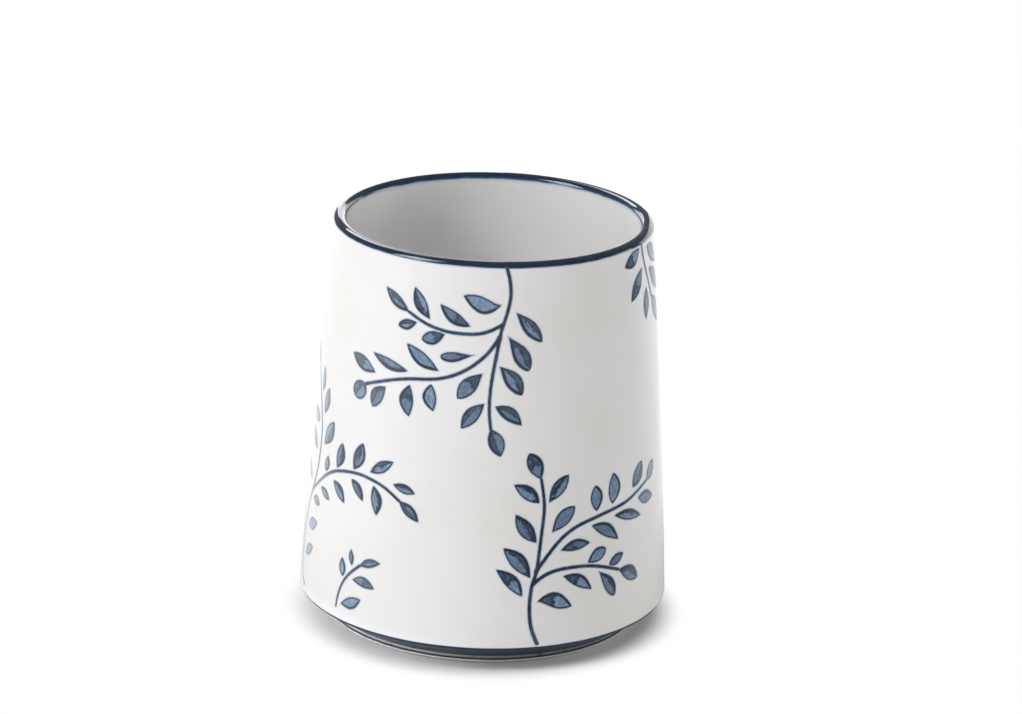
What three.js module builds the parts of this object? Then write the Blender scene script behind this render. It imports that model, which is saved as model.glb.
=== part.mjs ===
// Ceramic pen holder: a tapered porcelain cup with dark glaze bands round its lip and its foot.
// Millimetres, +Z up. The origin is on the axis, on the surface that the cup stands on.
import * as THREE from 'three';

// Outer form of the cup
const height = 100;
const mouthRadius = 38.4; // outside of the lip
const baseRadius = 44.8; // outside of the wall at its foot, the widest place
const wallBulge = 0.45; // how far the wall bows out from a straight taper
const lipThickness = 3.15; // the lip is a full round of this thickness
const lowWallThickness = 4.2; // the wall just above the floor

// Floor
const floorThickness = 4.5;
const floorFillet = 7; // inside corner between floor and wall

// Underside: the wall ends in a small rounded edge, then the cup is undercut down to a foot ring
const wallFootHeight = 6.5; // from the foot ring's face up to the lowest point of the wall
const edgeRounding = 1;
const overhang = 6.7; // from the wall's foot in to the foot ring
const footRingHeight = 1.55;
const footRounding = 0.5;
const footRingWidth = 3.8;
const recessDepth = 2; // from the foot ring's face up to the underside of the floor
const recessRounding = 0.6;

// Glaze bands, each flush in a shallow rebate in the body
const bandThickness = 0.35;
const bandClearance = 0.05;
const rimBandOuterAngle = 20; // degrees above level, outside of the lip
const rimBandInnerAngle = 16; // degrees above level, inside of the lip
const footBandTopAngle = 8; // degrees below level, on the rounded edge under the wall
const footBandEndAngle = 12; // degrees below level, on the foot ring's lower rounding

// Anti-slip pads in the recess
const padCount = 4;
const padRadius = 4.5;
const padProud = 0.35; // how far the pads reach below the foot ring
const padInset = 6; // from the foot ring's inner side to a pad
const padRounding = 0.9;
const padGlue = 0.05; // film between a pad and the underside of the floor

// Fineness of the round forms
const roundSegments = 64;
const padSegments = 16;

const degrees = Math.PI / 180;
const lipRadius = lipThickness / 2;
const ringFaceZ = padProud;
const undersideZ = ringFaceZ + recessDepth;
const floorZ = undersideZ + floorThickness;
const wallFootZ = ringFaceZ + wallFootHeight;
const lipCentre = new THREE.Vector2(mouthRadius - lipRadius, height - lipRadius);
const wallRise = lipCentre.y - wallFootZ;
const footRingRadius = baseRadius - overhang;
const recessRadius = footRingRadius - footRingWidth;

// Radius of the outer wall at a height: a straight taper plus a slight bow
function outerRadius(z) {
  const t = (z - wallFootZ) / wallRise;
  return baseRadius + (mouthRadius - baseRadius) * t + 4 * wallBulge * t * (1 - t);
}

// Radius of the inner wall at a height: the wall thins from the floor to the lip
function innerRadius(z) {
  const t = (z - wallFootZ) / wallRise;
  return outerRadius(z) - (lowWallThickness + (lipThickness - lowWallThickness) * t);
}

// Points on an arc, from one angle to another, in degrees from level
function arc(centreR, centreZ, radius, from, to, steps) {
  return Array.from({ length: steps + 1 }, (_, i) => {
    const angle = (from + ((to - from) * i) / steps) * degrees;
    return new THREE.Vector2(centreR + radius * Math.cos(angle), centreZ + radius * Math.sin(angle));
  });
}

// Points down or up a wall whose radius is a function of height, both ends included
function wallPoints(radiusAt, fromZ, toZ, steps) {
  return Array.from({ length: steps + 1 }, (_, i) => {
    const z = fromZ + ((toZ - fromZ) * i) / steps;
    return new THREE.Vector2(radiusAt(z), z);
  });
}

// The same outline a depth further into the clay, which lies to the left of its direction of travel
function inset(path, depth) {
  return path.map((point, i) => {
    const before = path[Math.max(i - 1, 0)];
    const after = path[Math.min(i + 1, path.length - 1)];
    const first = (i > 0 ? point.clone().sub(before) : after.clone().sub(point)).normalize();
    const second = (i < path.length - 1 ? after.clone().sub(point) : first.clone()).normalize();
    const normal = new THREE.Vector2(-first.y - second.y, first.x + second.x).normalize();
    const stretch = 1 / Math.max(normal.dot(new THREE.Vector2(-first.y, first.x)), 0.5);
    return point.clone().addScaledVector(normal, depth * stretch);
  });
}

// A profile of radius and height turned round the Z axis
function turned(name, profile, segments, material) {
  const geometry = new THREE.LatheGeometry(profile, segments);
  geometry.rotateX(Math.PI / 2);
  const mesh = new THREE.Mesh(geometry, material);
  mesh.name = name;
  return mesh;
}

// Outline of the lip from outside, over the top, to inside, with the ends drawn in by a margin
function lipPath(margin) {
  const trim = margin / lipRadius / degrees;
  const from = rimBandOuterAngle + trim;
  const to = 180 - rimBandInnerAngle - trim;
  return arc(lipCentre.x, lipCentre.y, lipRadius, from, to, 8);
}

// Outline of the foot from the ring's lower rounding, out along the undercut, to the wall's rounded edge
function footPath(margin) {
  const edgeR = baseRadius - edgeRounding;
  const shoulderR = footRingRadius - footRounding;
  const shoulderZ = ringFaceZ + footRingHeight;
  const undercutSlope = Math.atan2(wallFootZ - edgeRounding - shoulderZ, edgeR - shoulderR) / degrees;
  const ringTrim = margin / footRounding / degrees;
  const edgeTrim = margin / edgeRounding / degrees;
  return [
    ...arc(shoulderR, ringFaceZ + footRounding, footRounding, ringTrim - footBandEndAngle, 0, 1),
    ...arc(shoulderR, shoulderZ - footRounding, footRounding, 0, 90, 3),
    ...arc(edgeR, wallFootZ, edgeRounding, undercutSlope - 90, -footBandTopAngle - edgeTrim, 4),
  ];
}

// A band of glaze: the surface outline, and the same outline a glaze thickness deeper, closed on itself
function bandProfile(surface) {
  return [...surface, ...inset(surface, bandThickness).reverse(), surface[0].clone()];
}

function porcelainBody() {
  const lean = Math.atan2(innerRadius(floorZ) - innerRadius(floorZ + floorFillet), floorFillet);
  const filletTopZ = floorZ + floorFillet * (1 + Math.sin(lean));
  const filletR = innerRadius(filletTopZ) - floorFillet * Math.cos(lean);
  const rebate = bandThickness + bandClearance;
  const recessR = recessRadius + recessRounding;
  const profile = [
    new THREE.Vector2(0, undersideZ),
    new THREE.Vector2(recessRadius, undersideZ),
    ...arc(recessR, ringFaceZ + recessRounding, recessRounding, 180, 270, 2),
    ...arc(footRingRadius - footRounding, ringFaceZ + footRounding, footRounding, -90, -footBandEndAngle, 3),
    ...inset(footPath(0), rebate),
    ...arc(baseRadius - edgeRounding, wallFootZ, edgeRounding, -footBandTopAngle, 0, 1),
    ...wallPoints(outerRadius, wallFootZ, lipCentre.y, 8).slice(1),
    ...arc(lipCentre.x, lipCentre.y, lipRadius, rimBandOuterAngle / 2, rimBandOuterAngle, 1),
    ...inset(lipPath(0), rebate),
    ...arc(lipCentre.x, lipCentre.y, lipRadius, 180 - rimBandInnerAngle, 180 - rimBandInnerAngle / 2, 1),
    ...wallPoints(innerRadius, lipCentre.y, filletTopZ, 5).slice(0, -1),
    ...arc(filletR, floorZ + floorFillet, floorFillet, lean / degrees, -90, 5),
    new THREE.Vector2(0, floorZ),
  ];
  const material = new THREE.MeshStandardMaterial({ color: 0xf1f0ec, roughness: 0.22, metalness: 0 });
  return turned('porcelain_body', profile, roundSegments, material);
}

function rimBand() {
  const profile = bandProfile(lipPath(bandClearance));
  const material = new THREE.MeshStandardMaterial({ color: 0x24405e, roughness: 0.15, metalness: 0 });
  return turned('rim_band', profile, roundSegments, material);
}

function footBand() {
  const profile = bandProfile(footPath(bandClearance));
  const material = new THREE.MeshStandardMaterial({ color: 0x263a52, roughness: 0.15, metalness: 0 });
  return turned('foot_band', profile, roundSegments, material);
}

// A round pad with a rounded lower rim, flat where it meets the floor's underside and the desk
function pad(index) {
  const top = undersideZ - padGlue;
  const profile = [
    new THREE.Vector2(0, 0),
    ...arc(padRadius - padRounding, padRounding, padRounding, -90, 0, 3),
    new THREE.Vector2(padRadius, top),
    new THREE.Vector2(0, top),
  ];
  const material = new THREE.MeshStandardMaterial({ color: 0xc9cbc8, roughness: 0.5, metalness: 0 });
  const mesh = turned(`pad_${index + 1}`, profile, padSegments, material);
  const angle = ((index + 0.5) / padCount) * 2 * Math.PI;
  const reach = recessRadius - padInset - padRadius;
  mesh.position.set(reach * Math.cos(angle), reach * Math.sin(angle), 0);
  return mesh;
}

const penHolder = new THREE.Group();
penHolder.add(porcelainBody(), rimBand(), footBand());
for (let index = 0; index < padCount; index += 1) {
  penHolder.add(pad(index));
}

export default penHolder;
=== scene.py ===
# A ceramic pen holder: a tapered porcelain cup with navy glaze bands and painted leaf sprigs.
# Lengths in the tables and profiles are millimetres. Objects are built in metres.
import math

import bpy
import numpy as np
from mathutils import Matrix, Vector

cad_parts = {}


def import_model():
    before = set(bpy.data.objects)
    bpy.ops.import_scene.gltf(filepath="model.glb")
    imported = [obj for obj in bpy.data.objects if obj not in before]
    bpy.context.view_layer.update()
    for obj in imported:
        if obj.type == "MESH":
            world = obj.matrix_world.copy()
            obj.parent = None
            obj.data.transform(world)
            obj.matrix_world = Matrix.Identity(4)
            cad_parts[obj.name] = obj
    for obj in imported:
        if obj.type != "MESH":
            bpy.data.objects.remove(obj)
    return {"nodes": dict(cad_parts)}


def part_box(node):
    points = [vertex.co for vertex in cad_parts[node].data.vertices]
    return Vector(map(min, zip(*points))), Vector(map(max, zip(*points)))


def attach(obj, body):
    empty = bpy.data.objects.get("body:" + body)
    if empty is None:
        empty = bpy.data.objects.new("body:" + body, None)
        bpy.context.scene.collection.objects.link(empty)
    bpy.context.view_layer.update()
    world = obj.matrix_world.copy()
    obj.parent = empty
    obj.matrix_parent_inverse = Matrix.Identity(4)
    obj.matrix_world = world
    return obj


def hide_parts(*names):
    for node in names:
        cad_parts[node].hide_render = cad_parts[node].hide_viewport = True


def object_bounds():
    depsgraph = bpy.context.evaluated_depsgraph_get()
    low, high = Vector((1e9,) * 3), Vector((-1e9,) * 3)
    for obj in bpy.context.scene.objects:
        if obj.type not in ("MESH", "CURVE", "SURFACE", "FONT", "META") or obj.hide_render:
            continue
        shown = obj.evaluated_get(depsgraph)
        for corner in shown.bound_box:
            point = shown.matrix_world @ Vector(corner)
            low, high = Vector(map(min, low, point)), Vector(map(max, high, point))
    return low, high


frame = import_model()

CAD_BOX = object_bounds()
MM = 0.001

# Outer form of the cup, from the frame
HEIGHT = CAD_BOX[1].z / MM
BASE_RADIUS = CAD_BOX[1].x / MM
RING_FACE_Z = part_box("porcelain_body")[0].z / MM
PAD_NAMES = sorted(name for name in frame["nodes"] if name.startswith("pad_"))

# Forms of the cup that a box does not tell
MOUTH_RADIUS = 38.4
WALL_BULGE = 0.45
LIP_THICKNESS = 3.15
LOW_WALL_THICKNESS = 4.2
FLOOR_THICKNESS = 4.5
FLOOR_FILLET = 7.0
WALL_FOOT_HEIGHT = 6.5
EDGE_ROUNDING = 1.0
FOOT_RING_RADIUS = 38.1
FOOT_RING_HEIGHT = 1.55
FOOT_ROUNDING = 0.5
FOOT_RING_WIDTH = 3.8
RECESS_DEPTH = 2.0
RECESS_ROUNDING = 0.6
RECESS_FILLET = 0.8
PAD_ROUNDING = 0.9

# Where the glaze bands end: degrees above level on the lip, and below level on the wall's rounded edge
RIM_OUTER_ANGLE = 20.0
RIM_INNER_ANGLE = 16.0
FOOT_TOP_ANGLE = 8.0
FOOT_END_RISE = 0.12  # above the foot ring's lower rounding

# How far the pale blue bleed reaches past the paint: in general, and at three of the bands' ends
BLEED_WIDTH = 0.6
RIM_INNER_BLEED = 1.1
FOOT_TOP_BLEED = 0.3
FOOT_END_BLEED = 0.12

# Glaze and paint are thin layers: the height of their edges and of their middles over the body, and how
# deep their undersides lie in it
LAYER_EDGE = 0.012
LAYER_TOP = 0.035
PAINT_TOP = 0.045
LAYER_SUNK = 0.04

# Where the foot glaze breaks to pale clay on the ring's shoulder, which is also a painted highlight: its
# reach to both sides of the shoulder, the azimuth of the lit side, where there is most of it, and the share
# of it left on the opposite, shaded side
RIDGE_REACH = 0.26
PAINTED_LIGHT_MIDDLE = -75.0
PAINTED_LIGHT_LEAST = 0.15

# Fineness
TURNS = 288
PAD_TURNS = 48
PAINT_GRID = 0.22
LEAST_CUT = 0.04  # a grid edge is cut no nearer to its ends than this share of it
SHARP_ANGLE = math.radians(40)  # faces that meet at more than this have a sharp edge

LIP_RADIUS = LIP_THICKNESS / 2
LIP_R = MOUTH_RADIUS - LIP_RADIUS
LIP_Z = HEIGHT - LIP_RADIUS
UNDERSIDE_Z = RING_FACE_Z + RECESS_DEPTH
FLOOR_Z = UNDERSIDE_Z + FLOOR_THICKNESS
WALL_FOOT_Z = RING_FACE_Z + WALL_FOOT_HEIGHT
EDGE_R = BASE_RADIUS - EDGE_ROUNDING
RECESS_R = FOOT_RING_RADIUS - FOOT_RING_WIDTH
SHOULDER_R = FOOT_RING_RADIUS - FOOT_ROUNDING
SHOULDER_Z = RING_FACE_Z + FOOT_RING_HEIGHT
UNDERCUT = math.degrees(math.atan2(WALL_FOOT_Z - EDGE_ROUNDING - SHOULDER_Z, EDGE_R - SHOULDER_R))
RIM_PAINT_Z = LIP_Z + LIP_RADIUS * math.sin(math.radians(RIM_OUTER_ANGLE))
LOWEST_PAINT_Z = WALL_FOOT_Z + 0.1


# Profiles

def outer_radius(z):
    t = (z - WALL_FOOT_Z) / (LIP_Z - WALL_FOOT_Z)
    return BASE_RADIUS + (MOUTH_RADIUS - BASE_RADIUS) * t + 4 * WALL_BULGE * t * (1 - t)


def inner_radius(z):
    t = (z - WALL_FOOT_Z) / (LIP_Z - WALL_FOOT_Z)
    return outer_radius(z) - (LOW_WALL_THICKNESS + (LIP_THICKNESS - LOW_WALL_THICKNESS) * t)


def arc(centre_r, centre_z, radius, start, end, steps):
    """Points on an arc, angles in degrees from level."""
    angles = np.radians(np.linspace(start, end, steps + 1))
    return np.column_stack([centre_r + radius * np.cos(angles), centre_z + radius * np.sin(angles)])


def wall(radius_at, start, end, steps):
    """Points up or down a wall whose radius is a function of height."""
    heights = np.linspace(start, end, steps + 1)
    return np.column_stack([radius_at(heights), heights])


def lengths_along(path):
    steps = np.linalg.norm(np.diff(path, axis=0), axis=1)
    return np.concatenate([[0.0], np.cumsum(steps)])


def right_normals(path):
    """Unit normals to the right of the direction of travel, which is away from the clay."""
    ahead = np.gradient(path, axis=0)
    ahead /= np.linalg.norm(ahead, axis=1)[:, None]
    return np.column_stack([ahead[:, 1], -ahead[:, 0]])


def body_profile():
    """From the axis under the floor, round the foot, up the outside, over the lip and down to the floor."""
    lean = math.atan2(inner_radius(FLOOR_Z) - inner_radius(FLOOR_Z + FLOOR_FILLET), FLOOR_FILLET)
    fillet_top = FLOOR_Z + FLOOR_FILLET * (1 + math.sin(lean))
    fillet_r = inner_radius(fillet_top) - FLOOR_FILLET * math.cos(lean)
    return np.vstack([
        [[0, UNDERSIDE_Z], [RECESS_R * 0.5, UNDERSIDE_Z]],
        arc(RECESS_R - RECESS_FILLET, UNDERSIDE_Z - RECESS_FILLET, RECESS_FILLET, 90, 0, 6),
        arc(RECESS_R + RECESS_ROUNDING, RING_FACE_Z + RECESS_ROUNDING, RECESS_ROUNDING, 180, 270, 8),
        arc(SHOULDER_R, RING_FACE_Z + FOOT_ROUNDING, FOOT_ROUNDING, -90, 0, 10),
        arc(SHOULDER_R, SHOULDER_Z - FOOT_ROUNDING, FOOT_ROUNDING, 0, 90, 10),
        arc(EDGE_R, WALL_FOOT_Z, EDGE_ROUNDING, UNDERCUT - 90, 0, 16),
        wall(outer_radius, WALL_FOOT_Z, LIP_Z, 60)[1:],
        arc(LIP_R, LIP_Z, LIP_RADIUS, 0, 180, 36)[1:],
        wall(inner_radius, LIP_Z, fillet_top, 40)[1:-1],
        arc(fillet_r, FLOOR_Z + FLOOR_FILLET, FLOOR_FILLET, math.degrees(lean), -90, 14),
        [[fillet_r * 0.5, FLOOR_Z], [0, FLOOR_Z]],
    ])


def rim_path():
    """From the end of the bleed outside the lip, over the top, to the end of the bleed inside."""
    start = RIM_OUTER_ANGLE - math.degrees(BLEED_WIDTH / LIP_RADIUS)
    end = 180 - RIM_INNER_ANGLE
    below = RIM_INNER_BLEED - LIP_RADIUS * math.radians(RIM_INNER_ANGLE)
    return np.vstack([
        arc(LIP_R, LIP_Z, LIP_RADIUS, start, end, 50),
        arc(LIP_R, LIP_Z, LIP_RADIUS, end, 180, 6)[1:],
        wall(inner_radius, LIP_Z, LIP_Z - below, 5)[1:],
    ])


def foot_path():
    """Up the foot ring's side, over its shoulder and out along the undercut, to the wall's rounded edge."""
    low = RING_FACE_Z + FOOT_ROUNDING + FOOT_END_RISE - FOOT_END_BLEED
    high = WALL_FOOT_Z + FOOT_TOP_BLEED - EDGE_ROUNDING * math.radians(FOOT_TOP_ANGLE)
    flat_end = arc(EDGE_R, WALL_FOOT_Z, EDGE_ROUNDING, UNDERCUT - 90, UNDERCUT - 90, 0)[0]
    return np.vstack([
        np.linspace((FOOT_RING_RADIUS, low), (FOOT_RING_RADIUS, SHOULDER_Z - FOOT_ROUNDING), 6)[:-1],
        arc(SHOULDER_R, SHOULDER_Z - FOOT_ROUNDING, FOOT_ROUNDING, 0, 90, 12),
        np.linspace((SHOULDER_R, SHOULDER_Z), flat_end, 14)[1:-1],
        arc(EDGE_R, WALL_FOOT_Z, EDGE_ROUNDING, UNDERCUT - 90, 0, 20),
        [[BASE_RADIUS, high]],
    ])


# Meshes

def new_object(name, points, faces, smooth=True):
    """An object from points in millimetres."""
    mesh = bpy.data.meshes.new(name)
    mesh.from_pydata([tuple(p) for p in np.asarray(points, float) * MM], [], faces)
    mesh.polygons.foreach_set("use_smooth", [smooth] * len(mesh.polygons))
    piece = bpy.data.objects.new(name, mesh)
    bpy.context.scene.collection.objects.link(piece)
    return piece


def give_values(piece, name, values):
    layer = piece.data.attributes.new(name, "FLOAT", "POINT")
    layer.data.foreach_set("value", np.asarray(values, np.float32))


def give_map(piece, corners):
    """Lays out the piece's surface: corners is one (u, v) for each corner of each face."""
    layer = piece.data.uv_layers.new(name="OFBake")
    layer.data.foreach_set("uv", np.asarray(corners, np.float32).ravel())


def finish_piece(piece, material, slot, *nodes):
    """Gives a piece its material and its body, and hides the CAD nodes that it stands for. The slot is not
    used.
    """
    piece.data.materials.append(material)
    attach(piece, "root")
    if nodes:
        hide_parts(*nodes)
    return piece


def turned(name, profile, turns, closed=False):
    """A profile of radius and height turned round the Z axis. An end on the axis becomes one point.
    A closed profile's last ring is joined to its first."""
    points = []
    rings = []
    for radius, height in profile:
        if radius < 1e-6:
            rings.append([len(points)] * (turns + 1))
            points.append((0, 0, height))
            continue
        first = len(points)
        rings.append([first + j for j in range(turns)] + [first])
        for j in range(turns):
            angle = 2 * math.pi * j / turns
            points.append((radius * math.sin(angle), -radius * math.cos(angle), height))
    run = lengths_along(np.asarray(profile, float))
    run = run / run[-1]
    faces = []
    corners = []
    for low in range(len(rings) - 1):
        high = low + 1
        for j in range(turns):
            face = [rings[low][j], rings[low][j + 1], rings[high][j + 1], rings[high][j]]
            where = [(j, low), (j + 1, low), (j + 1, high), (j, high)]
            kept = [k for k in range(4) if face[k] != face[k - 1]]
            faces.append([face[k] for k in kept])
            corners += [(where[k][0] / turns, run[where[k][1]]) for k in kept]
    if closed:
        last, first = rings[-1], rings[0]
        for j in range(turns):
            faces.append([last[j], last[j + 1], first[j + 1], first[j]])
            corners += [(j / turns, 0.999), ((j + 1) / turns, 0.999), ((j + 1) / turns, 1), (j / turns, 1)]
    piece = new_object(name, points, faces)
    give_map(piece, corners)
    piece.data.set_sharp_from_angle(angle=SHARP_ANGLE)
    return piece


def per_ring(profile, values, turns):
    """Spreads one value per profile point over the points of its ring."""
    spread = []
    for (radius, _), value in zip(profile, values):
        spread += [value] * (1 if radius < 1e-6 else turns)
    return spread


# Shader nodes

def linear(red, green, blue):
    """A screen colour, 0 to 255, as a linear colour."""
    def channel(value):
        value /= 255
        return value / 12.92 if value <= 0.04045 else ((value + 0.055) / 1.055) ** 2.4
    return (channel(red), channel(green), channel(blue), 1)


class Nodes:
    """The node tree of a material or a world, with short calls for the nodes used here."""

    def __init__(self, owner):
        self.owner = owner
        self.owner.use_nodes = True
        self.tree = self.owner.node_tree
        self.tree.nodes.clear()
        self.coordinates = self.add("ShaderNodeTexCoord")
        self.place = self.coordinates.outputs["Object"]

    def add(self, kind, **settings):
        node = self.tree.nodes.new(kind)
        for key, value in settings.items():
            setattr(node, key, value)
        return node

    def feed(self, socket, value):
        """Links an output to the socket, or sets the socket's own value."""
        if isinstance(value, bpy.types.NodeSocket):
            self.tree.links.new(value, socket)
        else:
            socket.default_value = value

    def value(self, name):
        """One of the numbers that the piece's points carry."""
        return self.add("ShaderNodeAttribute", attribute_name=name).outputs["Fac"]

    def math(self, operation, *values):
        node = self.add("ShaderNodeMath", operation=operation)
        for socket, value in zip(node.inputs, values):
            self.feed(socket, value)
        return node.outputs[0]

    def rise(self, value, low, high, top=1.0, bottom=0.0):
        """The bottom number below low, the top one above high, smooth between."""
        node = self.add("ShaderNodeMapRange", interpolation_type="SMOOTHSTEP", clamp=True)
        self.feed(node.inputs["Value"], value)
        self.feed(node.inputs["From Min"], low)
        self.feed(node.inputs["From Max"], high)
        self.feed(node.inputs["To Min"], bottom)
        self.feed(node.inputs["To Max"], top)
        return node.outputs["Result"]

    def mix(self, factor, first, second):
        """One colour changing into another."""
        node = self.add("ShaderNodeMix", data_type="RGBA")
        self.feed(node.inputs[0], factor)
        self.feed(node.inputs[6], first)
        self.feed(node.inputs[7], second)
        return node.outputs[2]

    def blend(self, factor, first, second):
        """One number changing into another."""
        node = self.add("ShaderNodeMix", data_type="FLOAT")
        self.feed(node.inputs[0], factor)
        self.feed(node.inputs[2], first)
        self.feed(node.inputs[3], second)
        return node.outputs[0]

    def either(self, factor, first, second):
        """One shader changing into another."""
        node = self.add("ShaderNodeMixShader")
        self.feed(node.inputs[0], factor)
        self.feed(node.inputs[1], first)
        self.feed(node.inputs[2], second)
        return node.outputs[0]

    def diffuse(self, colour):
        node = self.add("ShaderNodeBsdfDiffuse")
        self.feed(node.inputs["Color"], colour)
        return node.outputs[0]

    def glow(self, strength):
        node = self.add("ShaderNodeEmission")
        self.feed(node.inputs["Strength"], strength)
        return node.outputs[0]

    def noise(self, feature, detail=2.0, stretch=(1, 1, 1), offset=0.0):
        """Smooth noise about 0.5, its features that many millimetres wide."""
        mapping = self.add("ShaderNodeMapping")
        self.feed(mapping.inputs["Vector"], self.place)
        self.feed(mapping.inputs["Scale"], tuple(1 / (feature * MM * s) for s in stretch))
        self.feed(mapping.inputs["Location"], (offset, offset * 0.7, offset * 1.3))
        node = self.add("ShaderNodeTexNoise")
        self.feed(node.inputs["Vector"], mapping.outputs["Vector"])
        self.feed(node.inputs["Scale"], 1.0)
        self.feed(node.inputs["Detail"], detail)
        return node.outputs["Fac"]

    def bump(self, height, distance, strength=1.0, under=None):
        node = self.add("ShaderNodeBump")
        self.feed(node.inputs["Height"], height)
        self.feed(node.inputs["Distance"], distance * MM)
        self.feed(node.inputs["Strength"], strength)
        if under is not None:
            self.feed(node.inputs["Normal"], under)
        return node.outputs["Normal"]

    def surface(self, **sockets):
        """Ends a material in a Principled shader and returns it. An underscore is a space in a name."""
        shader = self.add("ShaderNodeBsdfPrincipled")
        for name, value in sockets.items():
            self.feed(shader.inputs[name.replace("_", " ")], value)
        output = self.add("ShaderNodeOutputMaterial")
        self.tree.links.new(shader.outputs["BSDF"], output.inputs["Surface"])
        return self.owner


def new_material(name):
    return Nodes(bpy.data.materials.new(name))


# Finishes

WHITE_GLAZE = linear(243, 243, 245)
WHITE_GLAZE_WARM = linear(241, 240, 239)
BISCUIT = linear(226, 224, 219)
BISCUIT_GRAIN = linear(214, 211, 205)
NAVY = linear(38, 53, 74)
NAVY_DEEP = linear(27, 38, 54)
NAVY_THIN = linear(66, 88, 118)
# pale clay where the foot glaze breaks on its ridge, and a painted highlight there
NAVY_BREAK_AND_HIGHLIGHT = linear(228, 228, 227)
BLEED = linear(188, 206, 230)
LINE = linear(35, 50, 73)
LINE_DEEP = linear(25, 36, 53)
FILL_LIGHT = linear(110, 136, 167)
FILL_PALE = linear(144, 167, 192)
FILL_MID = linear(78, 101, 131)
FILL_DARK = linear(45, 62, 86)
# pale paint: thinly painted sprigs, and the painted reflection that washes out some sprigs' paint
THIN_PAINT_AND_WASHOUT = linear(198, 209, 223)
RUBBER = linear(196, 199, 196)
RUBBER_DULL = linear(176, 179, 175)

GLAZE_IOR = 1.5
RUBBER_IOR = 1.45
WHITE_ROUGHNESS = 0.07
CLAY_ROUGHER = 0.6  # how much rougher bare clay is than white glaze
PAINT_ROUGHNESS = 0.08
RUBBER_ROUGHNESS = 0.45
RIM_FINISH = (0.06, 0.5)  # roughness and gloss
FOOT_FINISH = (0.32, 0.3)


def white_glaze(nodes):
    """The white of the glaze, a little warmer where it pools."""
    pooling = nodes.rise(nodes.noise(26.0, 3.0), 0.42, 0.7)
    return nodes.mix(pooling, WHITE_GLAZE, WHITE_GLAZE_WARM)


def glaze_waves(nodes):
    """The slow waves and fine orange peel of a fired glaze."""
    slow = nodes.bump(nodes.noise(9.0, 1.0), 0.05, 0.5)
    return nodes.bump(nodes.noise(1.4, 2.0, offset=3.0), 0.004, 0.4, slow)


def body_material():
    """White glaze all over, but bare clay on the foot ring's face, with an uneven edge."""
    nodes = new_material("white_glaze")
    bare = nodes.value("bare")
    edge = nodes.math("ADD", bare, nodes.math("MULTIPLY", nodes.noise(1.2, 3.0), 0.5))
    dry = nodes.rise(edge, 0.65, 0.8)
    grain = nodes.mix(nodes.noise(0.5, 4.0), BISCUIT, BISCUIT_GRAIN)
    colour = nodes.mix(dry, white_glaze(nodes), grain)
    roughness = nodes.math("ADD", nodes.math("MULTIPLY", dry, CLAY_ROUGHER), WHITE_ROUGHNESS)
    return nodes.surface(Base_Color=colour, Roughness=roughness, IOR=GLAZE_IOR, Normal=glaze_waves(nodes))


def with_bleed(nodes, distance, paint):
    """Paint inside its edge, and a light blue bleed outside it that fades into the white."""
    near = nodes.rise(nodes.value("fade"), -1.0, 0.0)
    halo = nodes.math("POWER", near, 2.0)
    ground = nodes.mix(halo, white_glaze(nodes), BLEED)
    inside = nodes.rise(distance, -0.14, 0.12)
    return nodes.mix(inside, ground, paint)


def band_material(name, roughness, gloss):
    """Navy glaze: streaky, thin and paler at its edges, and breaking to pale clay on a ridge, which is also
    a painted highlight, most of it on the lit side.
    """
    nodes = new_material(name)
    wander = nodes.math("SUBTRACT", nodes.noise(5.0, 4.0), 0.5)
    distance = nodes.math("ADD", nodes.value("ink"), nodes.math("MULTIPLY", wander, 0.35))
    streaks = nodes.noise(2.2, 4.0, (1, 1, 0.5), 5.0)
    navy = nodes.mix(nodes.rise(streaks, 0.35, 0.7, 0.6), NAVY, NAVY_DEEP)
    thin = nodes.math("SUBTRACT", 1.0, nodes.rise(distance, 0.05, 0.4))
    navy = nodes.mix(nodes.math("MULTIPLY", thin, 0.6), navy, NAVY_THIN)
    # the pale ridge: glaze breaking, and a painted highlight that fades from the lit side to the shaded
    # side
    break_and_highlight = nodes.math("MULTIPLY", nodes.value("break_and_highlight"), nodes.rise(streaks, 0.1, 0.5))
    break_and_highlight = nodes.math("MULTIPLY", break_and_highlight, nodes.value("painted_light_share"))
    navy = nodes.mix(break_and_highlight, navy, NAVY_BREAK_AND_HIGHLIGHT)
    colour = with_bleed(nodes, distance, navy)
    return nodes.surface(
        Base_Color=colour,
        Roughness=roughness,
        IOR=GLAZE_IOR,
        Specular_IOR_Level=gloss,
        Normal=glaze_waves(nodes),
    )


def brush_strokes(nodes):
    """Streaks that run along a leaf, fanned a little, about 0.5 mm wide."""
    place = nodes.add("ShaderNodeCombineXYZ")
    nodes.feed(place.inputs["X"], nodes.math("MULTIPLY", nodes.value("along"), 0.45))
    nodes.feed(place.inputs["Y"], nodes.math("MULTIPLY", nodes.value("across"), 2.2))
    nodes.feed(place.inputs["Z"], nodes.math("MULTIPLY", nodes.value("tone"), 40.0))
    noise = nodes.add("ShaderNodeTexNoise")
    nodes.feed(noise.inputs["Vector"], place.outputs[0])
    nodes.feed(noise.inputs["Scale"], 1.0)
    nodes.feed(noise.inputs["Detail"], 3.0)
    return noise.outputs["Fac"]


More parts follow.
